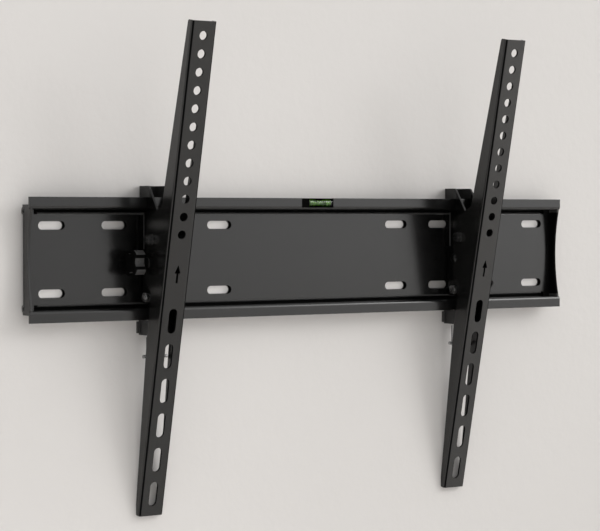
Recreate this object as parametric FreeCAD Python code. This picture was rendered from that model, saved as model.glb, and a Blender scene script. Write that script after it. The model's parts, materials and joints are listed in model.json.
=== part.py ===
import FreeCAD, Part
import os
from math import atan2, cos, degrees, hypot, pi, radians, sin, sqrt, tan
from FreeCAD import Placement, Rotation, Vector

# Tilting wall mount for a flat screen: a folded wall plate, two hook brackets that hang on its top lip
# and lock under its bottom lip, and two slotted arms that tilt on the brackets.
# Millimetres. The wall is the plane y = 0, the screen side is -y, x runs along the plate and z is up.
# The origin is the middle of the plate's back. The arms stand at their full forward tilt.

# Wall plate
plate_length = 580.0
plate_height = 105.5
plate_sheet = 2.0
lip_reach = 17.0          # wall to the front face of a lip
lip_height = 10.45
groove_width = 2.4
panel_standoff = 2.7      # wall to the back of the raised panel
plate_bend = 1.0
press_bend = 0.2
end_wall_inset = 1.0
end_wall_rise = 4.0       # how far the end wall stands up past each flange's inner face
end_wall_reach = 16.4
end_wall_dip = 5.0        # how far the end wall's front edge curves back

# Wall slots
slot_columns = (97.5, 148.5, 203.2, 263.3)
slot_row_spacing = 57.5
wall_slot_length = 25.0
wall_slot_width = 7.4

# Bubble level
level_width = 34.0
level_height = 8.3
level_depth = 9.0
level_proud = 0.6
level_grip = 2.5          # how far the holder reaches past the notch, behind the lip
level_grip_depth = 2.0
level_fit = 0.1
vial_length = 25.8
vial_diameter = 7.0
vial_offset = 3.2
vial_wall = 0.9
vial_end = 1.4
bubble_length = 7.5
bubble_height = 2.2

# Arms
arm_spacing = 335.0
arm_width = 24.3
arm_sheet = 2.0
arm_bend = 0.8
arm_top = 202.8           # top end, measured along the arm from the level of the plate's middle
arm_standoff = 53.0       # wall to the arm's front face at the plate's middle
tilt = 12.2
tip_depth = 7.2
heel_depth = 6.3
upper_root_depth = 17.5
upper_root = 43.0
lower_root_depth = 19.0
lower_root = -72.0
ear_top = 25.0
ear_top_depth = 41.2
ear_low = -29.0
ear_low_depth = 29.6
ear_low_root = -35.0
ear_round = 5.0
arm_hole_diameter = 7.6
arm_hole_pitch = 15.4
arm_hole_count = 12
arm_hole_end = 12.2
arm_slot_length = 21.8
arm_slot_width = 7.7
arm_slot_pitch = 31.0
arm_slot_count = 6
arm_slot_end = 19.8
screen_span = 400.0       # top hole to the middle of the lowest slot
arrow_place = -13.0
arrow_length = 15.8
arrow_head_length = 7.4
arrow_head_width = 5.8
arrow_shaft_width = 2.0

# Hook brackets
bracket_sheet = 2.0
bracket_bend = 1.0
side_clearance = 0.25     # each side, between the bracket and the arm's ears
bracket_front = 33.0
hook_rise = 9.85          # above the plate
hook_flat_end = 18.0
hook_slope_end = 41.0
hook_gap = 0.5            # hook to wall
hook_rim = 0.9            # hook's lower edge above the flange
lip_clearance = 0.4
upper_edge = 9.3          # wall to the free rear edge beside the panel
web_back = 6.2            # wall to the back of the lower web
web_top = 7.8
web_rise = 3.7            # lower web's end above the flange
recess_clearance = 2.2
foot_drop = 13.55         # below the plate
foot_rear = 0.6
foot_flange = 2.2         # foot's rear edge turned outwards

# Fasteners
bolt_diameter = 5.0
bolt_clearance = 0.05     # round a bolt that something turns on
hole_clearance = 0.2      # round a bolt that only passes through
hex_across = 8.0
nut_height = 4.0
head_height = 3.5
washer_diameter = 10.0
washer_thickness = 1.0
bolt_end = 1.2
spacer_diameter = 8.0
pivot_y, pivot_z = -27.0, 16.5
tilt_bolt_y, tilt_bolt_z = -19.0, -3.5
tie_bolt_y = -17.5
tie_bolt_rise = 9.0       # tie bolt above the bottom flange's inner face
tilt_slot_play = 0.3
dome_diameter = 9.0
dome_height = 2.6

# Tension knob
knob_radius = 12.3
knob_thickness = 11.0
knob_lobes = 4
knob_turn = 50.0
knob_scallop_radius = 8.5
knob_scallop_depth = 4.6
knob_chamfer = 1.1
knob_collar_diameter = 10.5
knob_collar_length = 4.6
knob_bore_depth = 12.0
knob_play = 0.3

# Latch; drops and rises are measured from the plate's lower edge
latch_sheet = 1.5
latch_bend = 0.6
latch_clearance = 0.3
latch_lip_gap = 0.5
latch_rise = 6.75
latch_front = 26.0
latch_cheek_rear = 18.0
latch_drop = 13.25
latch_travel = 8.0
latch_leg_root = 21.0
latch_leg_bend_drop = 15.2
latch_leg_front = 14.6
latch_leg_rear = 9.8
latch_leg_drop = 34.85
tongue_width = 4.0
tongue_front = 27.0
tongue_drop = 2.65
spring_hole_y = -24.8
spring_hole_diameter = 2.4
rivet_diameter = 4.0
rivet_head_diameter = 6.4
rivet_head_height = 1.0
rivet_y = -21.6
rivet_drop = 6.25
pull_bar_diameter = 3.2
pull_bar_length = 24.0
pull_bar_y = -12.2
pull_bar_drop = 31.85

# Latch spring
spring_wire = 0.9
spring_outer = 5.0
spring_turns = 9
spring_start = 9.0        # tie bolt to the first coil

half_height = plate_height / 2
half_flange = half_height - lip_height
half_panel = half_flange - groove_width
panel_front = panel_standoff + plate_sheet
flange_top = half_flange + plate_sheet
lip_back = lip_reach - plate_sheet
hook_top = half_height + hook_rise
foot_low = -half_height - foot_drop
web_low = web_rise - half_flange
tie_bolt_z = tie_bolt_rise - half_flange
latch_top = latch_rise - half_height
latch_low = -half_height - latch_drop
latch_leg_bend = -half_height - latch_leg_bend_drop
latch_leg_low = -half_height - latch_leg_drop
tongue_z = -half_height - tongue_drop
rivet_z = -half_height - rivet_drop
pull_bar_z = -half_height - pull_bar_drop
arm_length = arm_hole_end + screen_span + arm_slot_end
ear_inner = arm_width / 2 - arm_sheet
bracket_half = ear_inner - side_clearance
bracket_inner = bracket_half - bracket_sheet


def outline(points, place):
    """Closed wire through (a, b, radius) points, with each corner rounded to its radius."""
    corners = []
    count = len(points)
    for i, (a, b, radius) in enumerate(points):
        before, after = points[i - 1], points[(i + 1) % count]
        here = Vector(a, b, 0)
        back = Vector(before[0] - a, before[1] - b, 0).normalize()
        ahead = Vector(after[0] - a, after[1] - b, 0).normalize()
        if radius == 0:
            corners.append((here, here, here))
            continue
        half = back.getAngle(ahead) / 2
        middle = (back + ahead).normalize()
        reach = radius / tan(half)
        centre = here + middle * (radius / sin(half))
        corners.append((here + back * reach, centre - middle * radius, here + ahead * reach))
    edges = []
    for i, (start, top, end) in enumerate(corners):
        if start != end:
            edges.append(Part.Arc(place(start), place(top), place(end)).toShape())
        following = corners[(i + 1) % count][0]
        if (following - end).Length > 1e-6:
            edges.append(Part.LineSegment(place(end), place(following)).toShape())
    return Part.Wire(edges)


def side_prism(points, x0, x1):
    """Outline of (y, z, radius) points, extruded along x."""
    wire = outline(points, lambda v: Vector(x0, v.x, v.y))
    return Part.Face(wire).extrude(Vector(x1 - x0, 0, 0))


def sharp(points):
    return [(a, b, 0) for a, b in points]


def folded(points, sheet, bend):
    """Outline of a folded sheet: (a, b) points on its middle line, with bends of one inner radius."""
    middle_radius = bend + sheet / 2
    runs = []
    for (a0, b0), (a1, b1) in zip(points, points[1:]):
        runs.append(Vector(a1 - a0, b1 - b0, 0))
    turns = [0.0]
    for first, second in zip(runs, runs[1:]):
        cross = first.x * second.y - first.y * second.x
        turns.append(atan2(cross, first.dot(second)))
    turns.append(0.0)
    left, right = [], []
    for (a, b), turn, first, second in zip(points, turns, [runs[0]] + runs, runs + [runs[-1]]):
        along = (Vector(first).normalize() + Vector(second).normalize()).normalize()
        normal = Vector(-along.y, along.x, 0) * (sheet / 2 / cos(turn / 2))
        inside = middle_radius - sheet / 2
        outside = middle_radius + sheet / 2
        if turn == 0:
            inside = outside = 0
        left_radius, right_radius = (inside, outside) if turn > 0 else (outside, inside)
        left.append((a + normal.x, b + normal.y, left_radius))
        right.append((a - normal.x, b - normal.y, right_radius))
    return left + right[::-1]


def rod(diameter, x0, x1, y, z):
    """Cylinder along x."""
    return Part.makeCylinder(diameter / 2, x1 - x0, Vector(x0, y, z), Vector(1, 0, 0))


def tube(outer, inner, x0, x1, y, z):
    return rod(outer, x0, x1, y, z).cut(rod(inner, x0, x1, y, z))


def block(x0, x1, y0, y1, z0, z1):
    return Part.makeBox(x1 - x0, y1 - y0, z1 - z0, Vector(x0, y0, z0))


def fused(shapes):
    first, *others = shapes
    return first.fuse(others).removeSplitter()


def hexagon(x0, x1, y, z):
    """Hexagonal prism along x, its end corners chamfered as on a nut or bolt head."""
    corner = hex_across / sqrt(3)
    points = [(y + corner * cos(i * pi / 3), z + corner * sin(i * pi / 3)) for i in range(6)]
    body = side_prism(sharp(points), x0, x1)
    bevel = corner - hex_across / 2
    rounds = fused([
        Part.makeCone(hex_across / 2, corner + bevel, bevel * 1.5, Vector(x0, y, z), Vector(1, 0, 0)),
        rod(2 * (corner + bevel), x0 + bevel * 1.5, x1 - bevel * 1.5, y, z),
        Part.makeCone(corner + bevel, hex_across / 2, bevel * 1.5, Vector(x1 - bevel * 1.5, y, z), Vector(1, 0, 0)),
    ])
    return body.common(rounds)


def stadium(length, width, y0, y1, x, z):
    """Slot cutter along y, its long way along x."""
    straight = (length - width) / 2
    points = [(x - straight, z), (x + straight, z)]
    ends = [Part.makeCylinder(width / 2, y1 - y0, Vector(a, y0, b), Vector(0, 1, 0)) for a, b in points]
    return fused(ends + [block(x - straight, x + straight, y0, y1, z - width / 2, z + width / 2)])


def wall_plate():
    """One folded sheet: lips on flanges, pressed grooves, raised panel with slots and dished end walls."""
    lip_y = -(lip_reach - plate_sheet / 2)
    flange_z = half_flange + plate_sheet / 2
    groove_y = -plate_sheet / 2
    step_z = half_panel - plate_sheet / 2
    panel_y = -(panel_standoff + plate_sheet / 2)
    lip = [(lip_y, half_height), (lip_y, flange_z), (groove_y, flange_z)]
    upper = folded(lip + [(groove_y, 0)], plate_sheet, plate_bend)
    half = plate_length / 2
    body = side_prism(upper, -half, half).common(block(-half, half, -lip_reach, 0, step_z, half_height))
    step = folded([(groove_y, flange_z - plate_sheet), (groove_y, step_z), (panel_y, step_z), (panel_y, 0)],
                  plate_sheet, press_bend)
    body = body.cut(block(-half, half, -lip_reach, 0, 0, flange_z - plate_sheet))
    body = fused([body, side_prism(step, -half, half)])
    body = fused([body, body.mirror(Vector(0, 0, 0), Vector(0, 0, 1))])
    wall_x = half - end_wall_inset
    for side in (-1, 1):
        outside = sorted((side * wall_x, side * half))
        body = body.cut(block(*outside, -lip_back, 0, -half_height, half_height))
        body = fused([body, end_wall(side)])
    for column in slot_columns:
        for x in (-column, column):
            for z in (-slot_row_spacing / 2, slot_row_spacing / 2):
                body = body.cut(stadium(wall_slot_length, wall_slot_width, -panel_front - 1, 1, x, z))
    notch = block(-level_width / 2, level_width / 2, -lip_reach, plate_bend - lip_back, flange_top, half_height)
    return body.cut(notch)


def end_wall(side):
    """Wall folded forward from the panel's end, its front edge curved back in the middle."""
    middle_x = plate_length / 2 - end_wall_inset - plate_sheet / 2
    panel_y = -(panel_standoff + plate_sheet / 2)
    points = [(side * (middle_x - 8), panel_y), (side * middle_x, panel_y), (side * middle_x, -end_wall_reach)]
    wire = outline(folded(points, plate_sheet, plate_bend), lambda v: Vector(v.x, v.y, -half_flange))
    wall = Part.Face(wire).extrude(Vector(0, 0, 2 * half_flange))
    edges = sorted((side * (middle_x - plate_sheet / 2), side * (middle_x + plate_sheet / 2)))
    for low in (-half_flange - end_wall_rise, half_flange):
        wall = wall.fuse(block(*edges, -end_wall_reach, -plate_sheet, low, low + end_wall_rise))
    radius = half_flange ** 2 / (2 * end_wall_dip) + end_wall_dip / 2
    centre_y = -(end_wall_reach - end_wall_dip) - radius
    return wall.cut(rod(2 * radius, edges[0] - 10, edges[1] + 10, centre_y, 0)).removeSplitter()


def vial_place():
    y = -(lip_reach + level_proud - level_fit - vial_diameter / 2)
    z = flange_top + level_height / 2
    return y, z


def level_holder():
    """Moulded cradle that stands on the flange in the lip's notch and grips behind the lip."""
    half = level_width / 2 - level_fit
    front = -(lip_reach + level_proud)
    body = block(-half, half, front, front + level_depth, flange_top, flange_top + level_height)
    grip = half + level_grip
    body = body.fuse(block(-grip, grip, -lip_back, -lip_back + level_grip_depth,
                           flange_top + plate_bend, flange_top + level_height))
    y, z = vial_place()
    seat = rod(vial_diameter, vial_offset - vial_length / 2, vial_offset + vial_length / 2, y, z)
    window = block(vial_offset - vial_length / 2, vial_offset + vial_length / 2, front, y,
                   z - vial_diameter / 2, z + vial_diameter / 2)
    return body.cut(seat).cut(window).removeSplitter()


def level_vial():
    """Clear tube with closed ends and a slightly barrelled bore."""
    y, z = vial_place()
    x0, x1 = vial_offset - vial_length / 2, vial_offset + vial_length / 2
    return rod(vial_diameter, x0, x1, y, z).cut(vial_bore())


def vial_bore():
    y, z = vial_place()
    x0 = vial_offset - vial_length / 2 + vial_end
    return rod(vial_diameter - 2 * vial_wall, x0, x0 + vial_length - 2 * vial_end, y, z)


def level_fluid():
    """Liquid that fills the bore, less the bubble at its top."""
    y, z = vial_place()
    top = z + vial_diameter / 2 - vial_wall
    bubble = Part.makeSphere(1, Vector(0, 0, 0))
    stretch = FreeCAD.Matrix()
    stretch.scale(bubble_length / 2, bubble_height, bubble_height)
    bubble = bubble.transformGeometry(stretch)
    bubble.translate(Vector(vial_offset, y, top))
    return vial_bore().cut(bubble)


def to_arm(y, z):
    """World (y, z) in the arm's own (depth, along) coordinates."""
    angle = radians(tilt)
    depth = (y + arm_standoff) * cos(angle) + z * sin(angle)
    along = z * cos(angle) - (y + arm_standoff) * sin(angle)
    return depth, along


def arm():
    """Channel folded from one sheet, deepest at the ears that straddle the bracket."""
    low = arm_top - arm_length
    profile = [
        (0, low, 0), (0, arm_top, 0), (tip_depth, arm_top, 2),
        (upper_root_depth, upper_root, ear_round), (ear_top_depth, ear_top, ear_round),
        (ear_low_depth, ear_low, ear_round), (lower_root_depth, ear_low_root, ear_round),
        (lower_root_depth, lower_root, ear_round), (heel_depth, low, 2),
    ]
    half = arm_width / 2
    middle_x = half - arm_sheet / 2
    depth = ear_top_depth + arm_sheet
    channel = [(-middle_x, depth), (-middle_x, arm_sheet / 2), (middle_x, arm_sheet / 2), (middle_x, depth)]
    wire = outline(folded(channel, arm_sheet, arm_bend), lambda v: Vector(v.x, v.y, low))
    body = Part.Face(wire).extrude(Vector(0, 0, arm_length)).common(side_prism(profile, -half, half))
    pivot = to_arm(pivot_y, pivot_z)
    body = body.cut(rod(bolt_diameter + 2 * bolt_clearance, -half, half, *pivot))
    body = body.cut(tilt_slot())
    for cutter in screen_holes() + [arrow_cutter()]:
        body = body.cut(cutter)
    body.Placement = Placement(Vector(0, -arm_standoff, 0), Rotation(Vector(1, 0, 0), tilt))
    return body


def tilt_slot():
    """Curved slot round the pivot, long enough for the arm to come upright."""
    pivot = to_arm(pivot_y, pivot_z)
    bolt = to_arm(tilt_bolt_y, tilt_bolt_z)
    radius = hypot(bolt[0] - pivot[0], bolt[1] - pivot[1])
    half_width = bolt_diameter / 2 + tilt_slot_play
    play = degrees(tilt_slot_play / radius)
    start = degrees(atan2(bolt[1] - pivot[1], bolt[0] - pivot[0])) - play
    end = start + tilt + 2 * play

    def at(distance, angle):
        turn = radians(angle)
        return Vector(-arm_width, pivot[0] + distance * cos(turn), pivot[1] + distance * sin(turn))

    def cap(angle, ahead):
        centre = at(radius, angle)
        turn = radians(angle + ahead * 90)
        return centre + Vector(0, half_width * cos(turn), half_width * sin(turn))

    middle = (start + end) / 2
    outer, inner = radius + half_width, radius - half_width
    edges = [
        Part.Arc(at(outer, start), at(outer, middle), at(outer, end)),
        Part.Arc(at(outer, end), cap(end, 1), at(inner, end)),
        Part.Arc(at(inner, end), at(inner, middle), at(inner, start)),
        Part.Arc(at(inner, start), cap(start, -1), at(outer, start)),
    ]
    wire = Part.Wire([edge.toShape() for edge in edges])
    return Part.Face(wire).extrude(Vector(2 * arm_width, 0, 0))


def screen_holes():
    """Round holes down the upper half and slots down the lower half of the arm's face."""
    cutters = []
    top_hole = arm_top - arm_hole_end
    for i in range(arm_hole_count):
        centre = Vector(0, -1, top_hole - i * arm_hole_pitch)
        cutters.append(Part.makeCylinder(arm_hole_diameter / 2, arm_sheet + 2, centre, Vector(0, 1, 0)))
    for i in range(arm_slot_count):
        z = top_hole - screen_span + i * arm_slot_pitch
        upright = stadium(arm_slot_length, arm_slot_width, -1, arm_sheet + 1, 0, 0)
        upright.rotate(Vector(0, 0, 0), Vector(0, 1, 0), 90)
        upright.translate(Vector(0, 0, z))
        cutters.append(upright)
    return cutters


def arrow_cutter():
    """Upward arrow cut through the face, which shows the fitter the top of the arm."""
    tip = arrow_place + arrow_length / 2
    neck = tip - arrow_head_length
    low = tip - arrow_length
    head, shaft = arrow_head_width / 2, arrow_shaft_width / 2
    points = [(0, tip), (head, neck), (shaft, neck), (shaft, low), (-shaft, low), (-shaft, neck), (-head, neck)]
    wire = outline(sharp(points), lambda v: Vector(v.x, -1, v.y))
    return Part.Face(wire).extrude(Vector(0, arm_sheet + 2, 0))


def bracket_web(rear, z0, z1):
    """Folded web that joins the two side plates, with its back at the given distance from the wall."""
    middle_x = bracket_half - bracket_sheet / 2
    front = -(rear + bracket_sheet + bracket_bend)
    back = -(rear + bracket_sheet / 2)
    points = [(-middle_x, front), (-middle_x, back), (middle_x, back), (middle_x, front)]
    wire = outline(folded(points, bracket_sheet, bracket_bend), lambda v: Vector(v.x, v.y, z0))
    return Part.Face(wire).extrude(Vector(0, 0, z1 - z0))


def hook_bracket():
    """Two side plates and two webs folded from one sheet, notched to straddle the plate's lips."""
    fold = bracket_sheet + bracket_bend
    before_lip = -(lip_reach + lip_clearance)
    behind_lip = -(lip_back - lip_clearance)
    hook_rear = -(hook_gap + fold)
    hook_low = flange_top + hook_rim
    recess_top = half_flange - recess_clearance
    foot_top = -(half_height + lip_clearance)
    profile = [
        (hook_rear, hook_top, 0), (-hook_flat_end, hook_top, 3), (-bracket_front, hook_slope_end, 3),
        (-bracket_front, foot_low, 3), (-foot_rear, foot_low, 1.5), (-foot_rear, foot_top, 1.5),
        (before_lip, foot_top, 0), (before_lip, web_low, 0), (-(web_back + fold), web_low, 0),
        (-(web_back + fold), web_top, 0), (-upper_edge, web_top, 0), (-upper_edge, recess_top, 1),
        (before_lip, recess_top, 0), (before_lip, half_height, 0), (behind_lip, half_height, 0),
        (behind_lip, hook_low, 1), (hook_rear, hook_low, 0),
    ]
    plates = [side_prism(profile, -bracket_half, -bracket_inner), side_prism(profile, bracket_inner, bracket_half)]
    webs = [bracket_web(web_back, web_low, web_top), bracket_web(hook_gap, hook_low, hook_top)]
    flanges = [block(min(s * bracket_half, s * (bracket_half + foot_flange)),
                     max(s * bracket_half, s * (bracket_half + foot_flange)),
                     -(foot_rear + bracket_sheet), -foot_rear, foot_low + 1.5, foot_top - 1.5) for s in (-1, 1)]
    body = fused(plates + webs + flanges)
    for y, z in ((pivot_y, pivot_z), (tilt_bolt_y, tilt_bolt_z), (tie_bolt_y, tie_bolt_z)):
        body = body.cut(rod(bolt_diameter + 2 * hole_clearance, -arm_width, arm_width, y, z))
    return body.cut(rod(rivet_diameter, -arm_width, arm_width, rivet_y, rivet_z))


def hex_bolt(seat, far_seat, y, z):
    """Hexagon bolt along x, its head on the +x seat and its shank through a nut on the -x seat."""
    shank = rod(bolt_diameter, far_seat - nut_height - bolt_end, seat, y, z)
    return fused([shank, hexagon(seat, seat + head_height, y, z)])


def nut(seat, y, z):
    """Hexagon nut on the -x seat."""
    return hexagon(seat - nut_height, seat, y, z).cut(rod(bolt_diameter, seat - nut_height, seat, y, z))


def washer(x0, y, z):
    inner = bolt_diameter + 2 * hole_clearance
    return tube(washer_diameter, inner, x0, x0 + washer_thickness, y, z)


def spacer(y, z):
    """Tube between the side plates, which keeps the bolt from pinching them."""
    inner = bolt_diameter + 2 * hole_clearance
    return tube(spacer_diameter, inner, -bracket_inner, bracket_inner, y, z)


def pivot_washers():
    seat = arm_width / 2 + bolt_clearance
    return Part.makeCompound([washer(-seat - washer_thickness, pivot_y, pivot_z), washer(seat, pivot_y, pivot_z)])


def tilt_bolt():
    """Dome-headed bolt with its head on the +x ear and its shank in the knob on the -x side."""
    seat = arm_width / 2 + bolt_clearance
    end = -(knob_seat() + knob_bore_depth - knob_play)
    radius = (dome_height ** 2 + (dome_diameter / 2) ** 2) / (2 * dome_height)
    centre = Vector(seat + dome_height - radius, tilt_bolt_y, tilt_bolt_z)
    dome = Part.makeSphere(radius, centre).common(rod(dome_diameter, seat, seat + dome_height, tilt_bolt_y, tilt_bolt_z))
    return fused([rod(bolt_diameter, end, seat, tilt_bolt_y, tilt_bolt_z), dome])


def knob_seat():
    return arm_width / 2 + bolt_clearance + washer_thickness + bolt_clearance


def tilt_knob():
    """Four-lobed hand knob on a collar, with a blind bore for the bolt."""
    seat = -knob_seat()
    inner = seat - knob_collar_length
    y, z = tilt_bolt_y, tilt_bolt_z
    grip = rod(2 * knob_radius, inner - knob_thickness, inner, y, z)
    reach = knob_radius - knob_scallop_depth + knob_scallop_radius
    for i in range(knob_lobes):
        angle = radians(180 - knob_turn + (i + 0.5) * 360 / knob_lobes)
        centre = (y + reach * cos(angle), z + reach * sin(angle))
        grip = grip.cut(rod(2 * knob_scallop_radius, inner - knob_thickness, inner, *centre))
    rims = [e for e in grip.Edges if abs(e.BoundBox.XMax - e.BoundBox.XMin) < 1e-6]
    grip = grip.makeChamfer(knob_chamfer, rims)
    collar = rod(knob_collar_diameter, inner, seat, y, z)
    bore = rod(bolt_diameter + 2 * bolt_clearance, seat - knob_bore_depth, seat, y, z)
    return fused([grip, collar]).cut(bore)


def latch():
    """Spring latch folded from one sheet: a tooth behind the bottom lip, cheeks in front of it and two legs."""
    outer = bracket_inner - latch_clearance
    inner = outer - latch_sheet
    tooth_front = -(lip_back - latch_lip_gap)
    tooth_back = tooth_front + latch_sheet
    tooth_middle = tooth_front + latch_sheet / 2
    cheek_top = -(half_height + lip_clearance)
    fold = latch_sheet + latch_bend
    middle_x = outer - latch_sheet / 2
    points = [(-middle_x, tooth_back - fold), (-middle_x, tooth_middle), (middle_x, tooth_middle),
              (middle_x, tooth_back - fold)]
    wire = outline(folded(points, latch_sheet, latch_bend), lambda v: Vector(v.x, v.y, latch_low))
    web = Part.Face(wire).extrude(Vector(0, 0, cheek_top - latch_low))
    tooth = block(-inner, inner, tooth_front, tooth_back, cheek_top, latch_top)
    cheek = [
        (tooth_back - fold, cheek_top, 0), (-latch_cheek_rear, cheek_top, 0), (-latch_cheek_rear, latch_top, 1),
        (-latch_front, latch_top, 2), (-latch_front, latch_low, 2), (-latch_leg_root, latch_low, 1),
        (-latch_leg_front, latch_leg_bend, 1), (-latch_leg_front, latch_leg_low, 2),
        (-latch_leg_rear, latch_leg_low, 2), (-latch_leg_rear, latch_leg_bend, 1),
        (tooth_back - fold, latch_low, 0),
    ]
    tongue = block(-tongue_width / 2, tongue_width / 2, -tongue_front, tooth_back,
                   tongue_z - latch_sheet / 2, tongue_z + latch_sheet / 2)
    cheeks = side_prism(cheek, -outer, -inner).fuse(side_prism(cheek, inner, outer)).cut(rivet_slot(outer))
    body = fused([web, tooth, tongue, cheeks])
    body = body.cut(Part.makeCylinder(spring_hole_diameter / 2, 2 * latch_sheet,
                                      Vector(0, spring_hole_y, tongue_z - latch_sheet), Vector(0, 0, 1)))
    return body.cut(rod(pull_bar_diameter, -outer, outer, pull_bar_y, pull_bar_z))


def rivet_slot(outer):
    """Upright slot cutter that lets the latch travel down on its rivets."""
    width = rivet_diameter + 2 * hole_clearance
    ends = [rod(width, -outer, outer, rivet_y, z) for z in (rivet_z, rivet_z + latch_travel)]
    return fused(ends + [block(-outer, outer, rivet_y - width / 2, rivet_y + width / 2,
                               rivet_z, rivet_z + latch_travel)])


def latch_rivets():
    """Shoulder rivets in the side plates, which guide the latch by its slots."""
    inside = bracket_inner - latch_clearance - latch_sheet - latch_clearance
    rivets = []
    for side in (-1, 1):
        shank = rod(rivet_diameter, inside, bracket_half, rivet_y, rivet_z)
        inner_head = rod(rivet_head_diameter, inside - rivet_head_height, inside, rivet_y, rivet_z)
        rivet = fused([shank, inner_head])
        rivets.append(rivet if side > 0 else rivet.mirror(Vector(0, 0, 0), Vector(1, 0, 0)))
    return Part.makeCompound(rivets)


def pull_bar():
    return rod(pull_bar_diameter, -pull_bar_length / 2, pull_bar_length / 2, pull_bar_y, pull_bar_z)


def latch_spring():
    """Close-wound extension spring: one ribbed tube for its touching coils, a loop and two straight legs."""
    start = Vector(0, tie_bolt_y, tie_bolt_z)
    end = Vector(0, spring_hole_y, tongue_z)
    run = end - start
    axis = Vector(run).normalize()
    middle = (spring_outer - spring_wire) / 2
    ribs = []
    for i in range(spring_turns):
        ribs.append((i * spring_wire, middle))
        ribs.append(((i + 0.5) * spring_wire, spring_outer / 2))
    length = spring_turns * spring_wire
    profile = [(0, middle - spring_wire / 2)] + ribs + [(length, middle), (length, middle - spring_wire / 2)]
    coil = Part.Face(outline(sharp(profile), lambda v: Vector(v.x, v.y, 0))).revolve(Vector(0, 0, 0), Vector(1, 0, 0), 360)
    coil.Placement = Placement(start + axis * spring_start, Rotation(Vector(1, 0, 0), axis))
    loop = (spacer_diameter + spring_wire) / 2 + bolt_clearance
    upper_loop = tube(2 * loop + spring_wire, 2 * loop - spring_wire, -spring_wire / 2, spring_wire / 2,
                      tie_bolt_y, tie_bolt_z)
    overlap = spring_wire / 2
    coil_end = spring_start + length
    upper_leg = wire_run(start + axis * loop, start + axis * (spring_start + overlap), middle)
    lower_leg = wire_run(end, start + axis * (coil_end - overlap), middle)
    return coil.fuse([upper_loop, upper_leg, lower_leg]).removeSplitter()


def wire_run(start, end, offset):
    """Straight wire from a hook on the spring's axis out to its coil."""
    target = end + Vector(offset, 0, 0)
    return Part.makeCylinder(spring_wire / 2, (target - start).Length, start, target - start)


def side_pieces():
    """One arm with its bracket, knob side at -x, in the frame where the arm's middle plane is x = 0."""
    ear_seat = arm_width / 2 + bolt_clearance + washer_thickness
    knob_washer = washer(-(arm_width / 2 + bolt_clearance + washer_thickness), tilt_bolt_y, tilt_bolt_z)
    return {
        "hook_bracket": hook_bracket(),
        "arm": arm(),
        "pivot_bolt": hex_bolt(ear_seat, -ear_seat, pivot_y, pivot_z),
        "pivot_nut": nut(-ear_seat, pivot_y, pivot_z),
        "pivot_washers": pivot_washers(),
        "pivot_spacer": spacer(pivot_y, pivot_z),
        "tilt_bolt": tilt_bolt(),
        "tilt_washer": knob_washer,
        "tilt_spacer": spacer(tilt_bolt_y, tilt_bolt_z),
        "tilt_knob": tilt_knob(),
        "tie_bolt": hex_bolt(bracket_half, -bracket_half, tie_bolt_y, tie_bolt_z),
        "tie_nut": nut(-bracket_half, tie_bolt_y, tie_bolt_z),
        "tie_spacer": spacer(tie_bolt_y, tie_bolt_z),
        "latch": latch(),
        "latch_rivets": latch_rivets(),
        "latch_pull_bar": pull_bar(),
        "latch_spring": latch_spring(),
    }


def build():
    pieces = {
        "wall_plate": wall_plate(),
        "level_holder": level_holder(),
        "level_vial": level_vial(),
        "level_fluid": level_fluid(),
    }
    for name, shape in side_pieces().items():
        left = shape.copy()
        left.translate(Vector(-arm_spacing / 2, 0, 0))
        pieces["left_" + name] = left
        pieces["right_" + name] = left.mirror(Vector(0, 0, 0), Vector(1, 0, 0))
    return pieces


os.makedirs("parts", exist_ok=True)
for node, shape in build().items():
    shape.exportStep("parts/" + node + ".step")
    print(node, "solids", len(shape.Solids), "valid", shape.isValid(), "volume", round(shape.Volume, 1))
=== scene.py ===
import bpy
import json
from math import atan2, cos, degrees, pi, radians, sin
from mathutils import Euler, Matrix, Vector


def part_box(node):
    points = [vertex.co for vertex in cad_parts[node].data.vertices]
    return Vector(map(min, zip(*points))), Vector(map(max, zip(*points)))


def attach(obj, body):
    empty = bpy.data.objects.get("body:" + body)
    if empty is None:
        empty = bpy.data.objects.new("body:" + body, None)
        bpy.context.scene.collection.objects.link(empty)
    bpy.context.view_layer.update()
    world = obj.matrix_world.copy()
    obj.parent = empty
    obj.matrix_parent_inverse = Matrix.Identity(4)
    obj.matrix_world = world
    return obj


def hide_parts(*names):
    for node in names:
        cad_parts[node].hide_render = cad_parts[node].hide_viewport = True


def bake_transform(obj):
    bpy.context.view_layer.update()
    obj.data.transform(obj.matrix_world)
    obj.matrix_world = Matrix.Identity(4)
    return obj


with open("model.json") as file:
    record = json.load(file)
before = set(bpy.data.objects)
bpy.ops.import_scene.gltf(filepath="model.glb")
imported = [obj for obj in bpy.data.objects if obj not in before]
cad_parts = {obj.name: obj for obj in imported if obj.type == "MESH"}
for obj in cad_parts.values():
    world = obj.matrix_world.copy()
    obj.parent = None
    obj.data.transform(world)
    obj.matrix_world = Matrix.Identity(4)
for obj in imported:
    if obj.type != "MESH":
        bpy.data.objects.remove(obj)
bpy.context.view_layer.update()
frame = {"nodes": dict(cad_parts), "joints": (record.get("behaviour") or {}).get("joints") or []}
nodes = frame["nodes"]
joints = {joint["name"]: joint for joint in frame["joints"]}


def middle(name):
    low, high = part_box(name)
    return (low + high) / 2


# Sizes are metres, in the model's frame: the wall is y = 0 and the screen side is -y.
# TONGUE_HOLE is the spring's hole in the latch, and a thread's value runs from its arm's middle.
ACROSS = Vector((1, 0, 0))
ARM_X, PIVOT_Y, PIVOT_Z = joints["right_arm_tilt"]["pos_m"]
KNOB_Y, KNOB_Z = joints["right_knob_turn"]["pos_m"][1:]
KNOB_COLLAR = 0.0065
TIE = Vector((0, *middle("right_tie_spacer").yz))
TONGUE_HOLE = Vector((0, -0.0248, -0.0554))
PIVOT_THREAD = 0.0173
TIE_THREAD = 0.0140
WIRE = 0.0009

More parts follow.
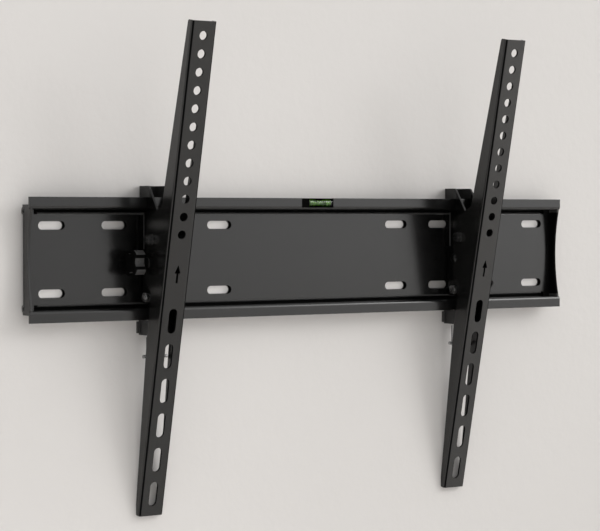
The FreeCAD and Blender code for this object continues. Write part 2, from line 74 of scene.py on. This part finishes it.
# The plate's panel, pressed grooves and end walls, by height and distance along from its middle.
PANEL_FRONT = -0.0046
PANEL_BACK = -0.0027
PANEL_TOP = 0.0400
GROOVE_LOW = 0.0401
GROOVE_HIGH = 0.0422
GROOVE_END = 0.2866
GROOVE_MOUTH_LOW = 0.0385
GROOVE_MOUTH_HIGH = 0.0445
HOLLOW_END = 0.2830
END_WALL_BEND = 0.2825
END_WALL_INNER = 0.2885
END_WALL_OUTER = 0.2890

# The plate's slots, in two rows and on both sides of its middle, and the part of the panel that holds them.
SLOT_COLUMNS = (0.0975, 0.1485, 0.2032, 0.2633)
SLOT_ROW = 0.02875
SLOT_STRAIGHT = 0.0088
SLOT_RADIUS = 0.0037
SLOTS_TOP = 0.0360
SLOTS_END = 0.2810
BARED_SLOT_END = (0.210, 0.217)


class Shader:
    """Small helper that builds a material's node tree in the model's own coordinates."""

    def __init__(self, name):
        self.material = bpy.data.materials.new(name)
        self.material.use_nodes = True
        self.nodes = self.material.node_tree.nodes
        self.links = self.material.node_tree.links
        self.bsdf = self.nodes["Principled BSDF"]
        self.output = self.nodes["Material Output"]
        self.place = self.add("ShaderNodeTexCoord").outputs["Object"]

    def add(self, kind, **values):
        node = self.nodes.new(kind)
        for key, value in values.items():
            setattr(node, key, value)
        return node

    def join(self, source, target):
        self.links.new(source, target)

    def drive(self, source, name):
        """Lead a value or colour into one of the surface's own inputs."""
        self.join(source, self.bsdf.inputs[name])

    def fix(self, name, value):
        """Set one of the surface's own inputs to a constant."""
        self.bsdf.inputs[name].default_value = value

    def axes(self):
        split = self.add("ShaderNodeSeparateXYZ")
        self.join(self.place, split.inputs[0])
        return split.outputs["X"], split.outputs["Y"], split.outputs["Z"]

    def stretched(self, scale):
        mapping = self.add("ShaderNodeMapping")
        mapping.inputs["Scale"].default_value = scale
        self.join(self.place, mapping.inputs["Vector"])
        return mapping.outputs["Vector"]

    def noise(self, scale, detail=4.0, roughness=0.5, vector=None):
        node = self.add("ShaderNodeTexNoise")
        node.inputs["Scale"].default_value = scale
        node.inputs["Detail"].default_value = detail
        node.inputs["Roughness"].default_value = roughness
        self.join(vector or self.place, node.inputs["Vector"])
        return node.outputs["Fac"]

    def ramp(self, factor, dark, light, start=0.3, end=0.7):
        """The dark colour up to where the factor is start, the light one from end."""
        node = self.add("ShaderNodeValToRGB")
        for element, place, colour in zip(node.color_ramp.elements, (start, end), (dark, light)):
            element.position = place
            element.color = (*colour, 1.0)
        self.join(factor, node.inputs["Fac"])
        return node.outputs["Color"]

    def spread(self, factor, low, high, start=0.0, end=1.0):
        node = self.add("ShaderNodeMapRange")
        node.inputs["From Min"].default_value = start
        node.inputs["From Max"].default_value = end
        node.inputs["To Min"].default_value = low
        node.inputs["To Max"].default_value = high
        self.join(factor, node.inputs["Value"])
        return node.outputs["Result"]

    def mix(self, factor, first, second):
        node = self.add("ShaderNodeMix", data_type="RGBA")
        self.join(factor, node.inputs["Factor"])
        for value, socket in ((first, node.inputs[6]), (second, node.inputs[7])):
            if isinstance(value, tuple):
                socket.default_value = (*value, 1.0)
            else:
                self.join(value, socket)
        return node.outputs[2]

    def math(self, operation, *values):
        node = self.add("ShaderNodeMath", operation=operation)
        for socket, value in zip(node.inputs, values):
            if isinstance(value, (int, float)):
                socket.default_value = value
            else:
                self.join(value, socket)
        return node.outputs[0]

    def inside(self, low, high, reach):
        """1 where y and z both lie between the given ends and x is within reach of the middle, else 0."""
        x, y, z = self.axes()
        mask = self.math("LESS_THAN", self.math("ABSOLUTE", x), reach)
        for axis, start, end in ((y, low[0], high[0]), (z, low[1], high[1])):
            for operation, limit in (("GREATER_THAN", start), ("LESS_THAN", end)):
                mask = self.math("MULTIPLY", mask, self.math(operation, axis, limit))
        return mask

    def bevelled(self, radius):
        node = self.add("ShaderNodeBevel", samples=4)
        node.inputs["Radius"].default_value = radius
        return node.outputs["Normal"]

    def edge_mask(self, radius):
        """White along edges, from how far a bevelled normal leans from the true one."""
        geometry = self.add("ShaderNodeNewGeometry")
        dot = self.add("ShaderNodeVectorMath", operation="DOT_PRODUCT")
        self.join(self.bevelled(radius), dot.inputs[0])
        self.join(geometry.outputs["Normal"], dot.inputs[1])
        return self.spread(dot.outputs["Value"], 1.0, 0.0, 0.72, 0.99)

    def bump(self, height, distance, rounding=0.0):
        node = self.add("ShaderNodeBump")
        node.inputs["Distance"].default_value = distance
        self.join(height, node.inputs["Height"])
        if rounding:
            self.join(self.bevelled(rounding), node.inputs["Normal"])
        self.drive(node.outputs["Normal"], "Normal")


def grey(value):
    return (value, value, value)


def powder_coat(name, dark, light, roughness, gloss, highlight_strips=(), reach=1.0):
    """Fine-textured satin black powder coat, paler along the sheet's edges from wear and a painted edge
    highlight.

    Each painted highlight strip is the low and the high y and z of an edge that the photo shows lit, and its
    grey.
    """
    s = Shader(name)
    s.fix("Specular IOR Level", gloss)
    colour = s.ramp(s.noise(38.0, 5.0, 0.6), dark, light)
    # Paler along the edges: partly wear, partly a painted edge highlight.
    wear_and_highlight = s.math("MULTIPLY", s.edge_mask(0.0006), s.noise(420.0, 3.0))
    colour = s.mix(wear_and_highlight, colour, tuple(c * 3 for c in light))
    # Painted highlights: lighter strips where edges catch the light.
    for low, high, highlight_grey in highlight_strips:
        colour = s.mix(s.inside(low, high, reach), colour, grey(highlight_grey))
    s.drive(colour, "Base Color")
    s.drive(s.spread(s.noise(160.0, 3.0), roughness - 0.015, roughness + 0.015, 0.3, 0.7), "Roughness")
    grain = s.math("ADD", s.noise(2600.0, 2.0), s.noise(900.0, 2.0))
    s.bump(grain, 0.000006, rounding=0.0004)
    return s.material


def zinc(name, dark, light):
    """Zinc plate with faint spangle and drawn marks."""
    s = Shader(name)
    s.fix("Metallic", 1.0)
    s.drive(s.ramp(s.noise(700.0, 3.0), grey(dark), grey(light)), "Base Color")
    s.drive(s.spread(s.noise(1500.0, 2.0), 0.18, 0.34), "Roughness")
    drawn = s.noise(1.0, 2.0, vector=s.stretched((300.0, 2600.0, 2600.0)))
    s.bump(drawn, 0.00004, rounding=0.0003)
    return s.material


def unlit_black(name):
    """Near-black painted shade for faces that the photo shows unlit, and a painted lit grey where the plate's
    grooves run out at its ends.
    """
    s = Shader(name)
    s.fix("Specular IOR Level", 0.05)
    x, _, z = s.axes()
    past_end = s.math("GREATER_THAN", s.math("ABSOLUTE", x), GROOVE_END)
    in_groove = s.math("GREATER_THAN", s.math("ABSOLUTE", z), PANEL_TOP)
    black = s.ramp(s.noise(120.0, 4.0), grey(0.0015), grey(0.0023))
    # Painted light: a grey like the lit coat where the grooves run out past the end walls.
    s.drive(s.mix(s.math("MULTIPLY", past_end, in_groove), black, (0.075, 0.075, 0.073)), "Base Color")
    s.drive(s.spread(s.noise(500.0, 3.0), 0.77, 0.93), "Roughness")
    s.bump(s.noise(2600.0, 3.0), 0.0001)
    return s.material


def drawn_wire(name):
    """Bare spring wire."""
    s = Shader(name)
    s.fix("Metallic", 1.0)
    s.drive(s.ramp(s.noise(900.0, 3.0), (0.46, 0.46, 0.44), (0.70, 0.70, 0.68)), "Base Color")
    s.drive(s.spread(s.noise(2000.0, 2.0), 0.22, 0.38), "Roughness")
    s.bump(s.noise(3000.0, 2.0), 0.00003)
    return s.material


def moulded(name, colour, roughness, grain, rounding=0.0, gloss=0.5):
    """Black moulding, or a grey painted to look lit, with a fine grain."""
    s = Shader(name)
    s.fix("Specular IOR Level", gloss)
    light = tuple(c * 1.5 for c in colour)
    s.drive(s.ramp(s.noise(120.0, 4.0), colour, light), "Base Color")
    s.drive(s.spread(s.noise(500.0, 3.0), roughness - 0.08, roughness + 0.08), "Roughness")
    s.bump(s.noise(grain, 3.0), 0.0001, rounding)
    return s.material


def clear_acrylic(name):
    """The vial's clear tube, tinted by what it holds."""
    s = Shader(name)
    s.drive(s.ramp(s.noise(300.0, 2.0), (0.72, 0.95, 0.55), (0.84, 1.0, 0.70)), "Base Color")
    s.fix("Transmission Weight", 1.0)
    s.fix("IOR", 1.49)
    s.drive(s.spread(s.noise(800.0, 2.0), 0.02, 0.07), "Roughness")
    s.bump(s.noise(200.0, 2.0), 0.00002)
    return s.material


def level_liquid(name):
    """Tinted fluid: mostly body colour with some light let through, so that it glows as in the photo."""
    s = Shader(name)
    streak = s.noise(1.0, 2.0, vector=s.stretched((120.0, 500.0, 500.0)))
    s.drive(s.ramp(streak, (0.04, 0.15, 0.02), (0.36, 0.72, 0.12), 0.38, 0.62), "Base Color")
    s.fix("Transmission Weight", 0.25)
    s.fix("IOR", 1.37)
    s.drive(s.spread(streak, 0.08, 0.2), "Roughness")
    s.bump(streak, 0.00002)
    return s.material


def give(material, *names):
    for name in names:
        mesh = nodes[name].data
        mesh.materials.clear()
        mesh.materials.append(material)


def shade(name, chosen, material):
    """Another material, here painted shade or painted light, on the faces that are chosen by their place and
    normal.
    """
    node = nodes[name]
    node.data.materials.append(material)
    index = len(node.data.materials) - 1
    turn = node.matrix_world.to_3x3()
    for polygon in node.data.polygons:
        if chosen(node.matrix_world @ polygon.center, turn @ polygon.normal):
            polygon.material_index = index


def shaded_plate(place, normal):
    """Faces painted with the shade black: the pressed grooves, the slots' walls, the end walls' inner faces
    and the right one's front edge.
    """
    along, height = abs(place.x), abs(place.z)
    inward = place.x * normal.x
    if place.y < PANEL_FRONT:
        inner = along > END_WALL_BEND and height < GROOVE_HIGH - 0.0001 and inward < -0.00001
        right_edge = place.x > END_WALL_BEND and height < PANEL_TOP and normal.y < -0.5
        return inner or right_edge
    groove = GROOVE_LOW < height < GROOVE_HIGH and along < GROOVE_END
    slot = height < SLOTS_TOP and along < SLOTS_END and abs(normal.y) < 0.3 and place.y < PANEL_BACK
    end = END_WALL_BEND < along < END_WALL_INNER and height < PANEL_TOP and inward < 0.2
    return groove or slot or end


def plate_corner(place, normal):
    """Faces painted a lit grey: the sheet's cut ends where the grooves run out, and the one slot's end that
    shows past an arm.
    """
    mouth = GROOVE_MOUTH_LOW < abs(place.z) < GROOVE_MOUTH_HIGH
    cut_end = abs(place.x) > END_WALL_OUTER and mouth and place.y > PANEL_FRONT
    bared = BARED_SLOT_END[0] < place.x < BARED_SLOT_END[1] and -SLOTS_TOP < place.z < 0
    return cut_end or (bared and normal.x < -0.5 and place.y < PANEL_BACK)


def shaded_arm(place, normal):
    """Faces painted with the shade black: a painted shadow line along the middle of an arm's two long folds,
    and the walls of its holes, slots and arrow.
    """
    near_middle = abs(abs(place.x) - ARM_X) < 0.006
    lean = degrees(atan2(abs(normal.x), -normal.y))
    return (near_middle and abs(normal.x) > 0.2) or 17 < lean < 50


def arm_front(place, normal):
    """An arm's front face, between its two long folds."""
    return abs(normal.x) < 0.1 and normal.y < -0.9


def shaded_knob(place, normal):
    """Faces painted with the shade black: the knob's two flat sides with their bevels, its collar, and the
    flanks of its lobes and hollows.
    """
    radial = Vector((0, place.y - KNOB_Y, place.z - KNOB_Z))
    return abs(normal.x) > 0.5 or radial.length < KNOB_COLLAR or radial.normalized().dot(normal) < 0.70


def wire(name, points, material, radius=WIRE / 2, sides=10):
    """Round wire swept along points, as a mesh with closed ends."""
    curve = bpy.data.curves.new(name, "CURVE")
    curve.dimensions = "3D"
    curve.bevel_depth = radius
    curve.bevel_resolution = sides // 2 - 1
    curve.use_fill_caps = True
    spline = curve.splines.new("POLY")
    spline.points.add(len(points) - 1)
    for point, place in zip(spline.points, points):
        point.co = (*place, 1.0)
    holder = bpy.data.objects.new(name + "_line", curve)
    bpy.context.scene.collection.objects.link(holder)
    bpy.context.view_layer.update()
    graph = bpy.context.evaluated_depsgraph_get()
    mesh = bpy.data.meshes.new_from_object(holder.evaluated_get(graph))
    bpy.data.objects.remove(holder)
    mesh.name = name
    for polygon in mesh.polygons:
        polygon.use_smooth = True
    mesh.materials.clear()
    mesh.materials.append(material)
    piece = bpy.data.objects.new(name, mesh)
    bpy.context.scene.collection.objects.link(piece)
    return piece


def latch_spring(side, x, material):
    """Extension spring: a loop round the tie spacer, touching coils, and a hook in the latch's tongue."""
    shift = Vector((x, 0, 0))
    axis = (TONGUE_HOLE - TIE).normalized()
    sideways = axis.cross(ACROSS)
    loop_radius = 0.0045
    coil_radius = (0.0050 - WIRE) / 2
    first, turns, steps = 0.0090, 9, 16
    points = []
    for i in range(36):
        angle = radians(-40 - 320 * i / 36)
        points.append(TIE + axis * (loop_radius * cos(angle)) + sideways * (loop_radius * sin(angle)))
    points.append(TIE + axis * (loop_radius + 0.0004))
    points.append(TIE + axis * (first - 0.0012) + ACROSS * (coil_radius * 0.3))
    for i in range(turns * steps + 1):
        angle = 2 * pi * i / steps
        place = TIE + axis * (first + WIRE * i / steps)
        points.append(place + ACROSS * (coil_radius * cos(angle)) + sideways * (coil_radius * sin(angle)))
    end = TIE + axis * (first + WIRE * turns)
    points.append(end + axis * 0.0008 + ACROSS * (coil_radius * 0.5))
    points.append(TONGUE_HOLE - axis * 0.0014)
    hook_depth, hook_height = 0.0017, 0.0021
    hook = TONGUE_HOLE - Vector((0, hook_depth, 0))
    for i in range(15):
        angle = radians(-10 - 250 * i / 14)
        points.append(hook + Vector((0, hook_depth * cos(angle), hook_height * sin(angle))))
    piece = wire(side + "_latch_spring_coils", [p + shift for p in points], material)
    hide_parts(side + "_latch_spring")
    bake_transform(piece)


def thread(side, name, start, sign, y, z, material):
    """One turn of rolled thread where a bolt's end shows past its nut."""
    radius, pitch, steps = 0.00245, 0.0008, 20
    points = []
    for i in range(steps + 1):
        angle = 2 * pi * i / steps
        x = start + sign * pitch * i / steps
        points.append(Vector((x, y + radius * cos(angle), z + radius * sin(angle))))
    piece = wire(side + "_" + name, points, material, radius=0.00015, sides=6)
    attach(piece, side + "_bracket")


def vial_lines(material):
    """The two black rings printed round the vial, one at each end of the bubble."""
    low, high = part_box("level_vial")
    y, z = (low.y + high.y) / 2, (low.z + high.z) / 2
    radius = (high.z - low.z) / 2 + 0.00004
    steps = 28
    for name, x in (("level_line_left", -0.0012), ("level_line_right", 0.0080)):
        points = []
        for i in range(steps + 1):
            angle = radians(95 + 170 * i / steps)
            points.append(Vector((x, y + radius * cos(angle), z + radius * sin(angle))))
        piece = wire(name, points, material, radius=0.00022, sides=6)
        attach(piece, "plate")


# Painted highlight strips: the panel's long edges, the edges, foot and hook of each bracket, and the front of
# each latch's legs.
PANEL_EDGE_HIGHLIGHTS = [
    ((-0.0048, 0.0381), (-0.0033, 0.0397), 0.100),
    ((-0.0048, -0.0397), (-0.0033, -0.0381), 0.100),
]
BRACKET_HIGHLIGHTS = [
    ((-0.0112, 0.0080), (-0.0090, 0.0405), 0.060),
    ((-0.0080, -0.0386), (-0.0060, 0.0078), 0.015),
    ((-0.0200, -0.0800), (-0.0030, -0.0535), 0.030),
    ((-0.0030, -0.0800), (0.0010, -0.0535), 0.070),
    ((-0.0200, 0.0530), (0.0010, 0.0800), 0.020),
]
LATCH_HIGHLIGHTS = [((-0.0132, -0.0880), (-0.0111, -0.0640), 0.55)]
ARM_BLACKS = ((0.003, 0.003, 0.0028), (0.005, 0.005, 0.0047))

plate_coat = powder_coat("plate_coat", grey(0.003), grey(0.005), 0.21, 0.66, PANEL_EDGE_HIGHLIGHTS, reach=0.2765)
arm_coat = powder_coat("arm_coat", *ARM_BLACKS, 0.23, 0.63)
# Painted light: a glossier copy of the arm coat, for the right arm's front face only.
lit_coat = powder_coat("lit_coat", *ARM_BLACKS, 0.23, 0.79)
bracket_coat = powder_coat("bracket_coat", grey(0.001), grey(0.002), 0.22, 0.20, BRACKET_HIGHLIGHTS)
latch_coat = powder_coat("latch_coat", grey(0.002), grey(0.004), 0.30, 0.42, LATCH_HIGHLIGHTS)
# Painted shade: a near-black put on faces that lie in shade.
painted_shade_black = unlit_black("painted_shade_black")
# Painted light: a grey that stands in for the lit look of the black coat.
painted_lit_grey = moulded("painted_lit_grey", (0.060, 0.060, 0.058), 0.50, 1800.0)
bright_zinc = zinc("bright_zinc", 0.22, 0.55)
dark_zinc = zinc("dark_zinc", 0.05, 0.20)
black_zinc = zinc("black_zinc", 0.010, 0.035)
spring_wire = drawn_wire("spring_wire")
knob_black = moulded("knob_black", grey(0.045), 0.30, 1400.0)
level_black = moulded("level_black", (0.0008, 0.0007, 0.0006), 0.75, 1800.0, 0.0003, gloss=0.03)
vial_clear = clear_acrylic("vial_clear")
vial_liquid = level_liquid("vial_liquid")

give(plate_coat, "wall_plate")
shade("wall_plate", shaded_plate, painted_shade_black)
shade("wall_plate", plate_corner, painted_lit_grey)
give(level_black, "level_holder")
give(vial_clear, "level_vial")
give(vial_liquid, "level_fluid")
for side, sign in (("left", -1), ("right", 1)):
    give(arm_coat, side + "_arm")
    shade(side + "_arm", shaded_arm, painted_shade_black)
    give(bracket_coat, side + "_hook_bracket")
    give(latch_coat, side + "_latch")
    give(knob_black, side + "_tilt_knob")
    shade(side + "_tilt_knob", shaded_knob, painted_shade_black)
    for name in ("pivot_bolt", "pivot_nut", "pivot_washers", "pivot_spacer", "tilt_washer", "tilt_spacer"):
        give(dark_zinc, side + "_" + name)
    give(black_zinc, side + "_tilt_bolt")
    for name in ("tie_bolt", "tie_nut", "tie_spacer", "latch_rivets", "latch_pull_bar"):
        give(bright_zinc, side + "_" + name)
    latch_spring(side, sign * ARM_X, spring_wire)
    thread(side, "pivot_thread", sign * (ARM_X + PIVOT_THREAD), sign, PIVOT_Y, PIVOT_Z, dark_zinc)
    thread(side, "tie_thread", sign * (ARM_X + TIE_THREAD), sign, TIE.y, TIE.z, dark_zinc)
# The right arm's front face gets the glossier copy, painted extra light.
shade("right_arm", arm_front, lit_coat)
vial_lines(level_black)


def slot_light(s, x, z):
    """1 on the wall straight behind a slot, 0 where the plate shades the wall."""
    along = None
    for column in SLOT_COLUMNS:
        past = s.math("ABSOLUTE", s.math("SUBTRACT", x, column))
        along = past if along is None else s.math("MINIMUM", along, past)
    along = s.math("MAXIMUM", s.math("SUBTRACT", along, SLOT_STRAIGHT), 0.0)
    up = s.math("SUBTRACT", z, SLOT_ROW)
    reach = s.math("SQRT", s.math("ADD", s.math("MULTIPLY", along, along), s.math("MULTIPLY", up, up)))
    return s.spread(reach, 1.0, 0.0, SLOT_RADIUS - 0.0006, SLOT_RADIUS + 0.0003)


def pale_wall():
    """Pale plaster, a little darker to the right, with a painted black shadow behind the plate, a painted
    glow of light behind its slots and a faint painted glow over the rest of the wall and floor.

    It lets the view from behind through.
    """
    s = Shader("pale_wall")
    s.fix("Specular IOR Level", 0.2)
    s.fix("Roughness", 0.9)
    s.fix("Emission Color", (1.0, 0.97, 0.95, 1.0))
    x, _, z = s.axes()
    along = s.math("ABSOLUTE", x)
    height = s.math("ABSOLUTE", z)
    below = s.math("LESS_THAN", height, PANEL_TOP)
    behind = s.math("MULTIPLY", s.math("LESS_THAN", along, HOLLOW_END), below)
    lit = slot_light(s, along, height)
    shaded = s.math("MULTIPLY", behind, s.math("SUBTRACT", 1.0, lit))
    plaster = s.ramp(s.noise(6.0, 3.0), (0.702, 0.684, 0.668), (0.722, 0.704, 0.688))
    plaster = s.mix(s.spread(x, 0.0, 1.0, -0.20, 0.40), plaster, (0.640, 0.624, 0.609))
    # Painted shadow: black on the wall behind the plate, except straight behind the slots.
    s.drive(s.mix(shaded, plaster, grey(0.004)), "Base Color")
    from_arm = s.math("ABSOLUTE", s.math("SUBTRACT", along, ARM_X))
    # Painted light: the wall glows behind the slots but not near the arms, and faintly away from the plate,
    # floor included.
    painted_slot_glow = s.math("MULTIPLY", s.math("MULTIPLY", behind, lit), s.spread(from_arm, 0.0, 0.24, 0.025, 0.065))
    painted_wall_glow = s.math("MULTIPLY", s.math("SUBTRACT", 1.0, behind), 0.05)
    s.drive(s.math("ADD", painted_slot_glow, painted_wall_glow), "Emission Strength")
    s.bump(s.noise(90.0, 4.0), 0.0003)
    geometry = s.add("ShaderNodeNewGeometry")
    clear = s.add("ShaderNodeBsdfTransparent")
    mixed = s.add("ShaderNodeMixShader")
    s.join(geometry.outputs["Backfacing"], mixed.inputs["Fac"])
    s.join(s.bsdf.outputs[0], mixed.inputs[1])
    s.join(clear.outputs[0], mixed.inputs[2])
    s.join(mixed.outputs[0], s.output.inputs["Surface"])
    return s.material


def backdrop():
    """Plain wall and floor, 8 metres wide."""
    material = pale_wall()
    half, depth, top, floor_z, wall_y = 4, -5, 3.2, -0.30, 0.0004
    foot = [(-half, wall_y, floor_z), (half, wall_y, floor_z)]
    sheets = {
        "pale_wall": foot + [(half, wall_y, top), (-half, wall_y, top)],
        "pale_floor": [(-half, depth, floor_z), (half, depth, floor_z)] + foot[::-1],
    }
    for name, corners in sheets.items():
        mesh = bpy.data.meshes.new(name)
        mesh.from_pydata(corners, [], [(0, 1, 2, 3)])
        mesh.materials.append(material)
        sheet = bpy.data.objects.new(name, mesh)
        bpy.context.scene.collection.objects.link(sheet)
    bpy.data.objects["pale_wall"].visible_shadow = False


backdrop()


def lamp(name, place, target, size, power):
    light = bpy.data.lights.new(name, "AREA")
    light.shape = "DISK"
    light.size = size
    light.energy = power
    light.color = (1.0, 0.99, 0.975)
    holder = bpy.data.objects.new(name, light)
    holder.location = place
    holder.rotation_euler = (Vector(target) - Vector(place)).to_track_quat("-Z", "Y").to_euler()
    bpy.context.scene.collection.objects.link(holder)


lamp("key", (2.2, -1.7, 1.2), (1.0, -0.9, -0.3), size=1.5, power=26.0)
lamp("rear", (0.6, 2.2, 0.9), (0, 0, 0), size=1.6, power=22.0)


def soft_room():
    """White surroundings, brighter to the right as beside a large window, and dark behind the camera."""
    world = bpy.data.worlds.new("soft_room")
    world.use_nodes = True
    tree = world.node_tree
    direction = tree.nodes.new("ShaderNodeTexCoord").outputs["Generated"]

    def eased(value, start, end, low, high):
        node = tree.nodes.new("ShaderNodeMapRange")
        node.interpolation_type = "SMOOTHSTEP"
        node.inputs["From Min"].default_value = start
        node.inputs["From Max"].default_value = end
        node.inputs["To Min"].default_value = low
        node.inputs["To Max"].default_value = high
        tree.links.new(value, node.inputs["Value"])
        return node.outputs["Result"]

    split = tree.nodes.new("ShaderNodeSeparateXYZ")
    tree.links.new(direction, split.inputs[0])
    window = eased(split.outputs["X"], 0.40, 0.62, 0.92, 1.62)
    facing = tree.nodes.new("ShaderNodeVectorMath")
    facing.operation = "DOT_PRODUCT"
    facing.inputs[1].default_value = (-0.62, -0.78, 0.0)
    tree.links.new(direction, facing.inputs[0])
    dark_side = eased(facing.outputs["Value"], 0.72, 0.97, 1.0, 0.02)
    strength = tree.nodes.new("ShaderNodeMath")
    strength.operation = "MULTIPLY"
    tree.links.new(window, strength.inputs[0])
    tree.links.new(dark_side, strength.inputs[1])
    background = tree.nodes["Background"]
    background.inputs["Color"].default_value = (1.0, 0.995, 0.985, 1.0)
    tree.links.new(strength.outputs[0], background.inputs["Strength"])
    bpy.context.scene.world = world


soft_room()

# The camera that was fitted to the photo. Angles are degrees.
CAMERA_PLACE = (-1.0565, -1.5521, 0.0378)
FOCAL_PIXELS = 2052.8
PHOTO_WIDTH = 600
SENSOR = 36.0
LOOK_DOWN = 1.418
HEADING = 34.04
camera = bpy.data.cameras.new("photo_camera")
camera.sensor_width = SENSOR
camera.sensor_fit = "HORIZONTAL"
camera.lens = FOCAL_PIXELS / PHOTO_WIDTH * SENSOR
camera.clip_start = 0.05
camera.clip_end = 60.0
viewer = bpy.data.objects.new("photo_camera", camera)
viewer.location = CAMERA_PLACE
viewer.rotation_euler = Euler((radians(90 - LOOK_DOWN), 0, radians(-HEADING)), "XYZ")
bpy.context.scene.collection.objects.link(viewer)
bpy.context.scene.camera = viewer
bpy.context.scene.view_settings.view_transform = "Standard"
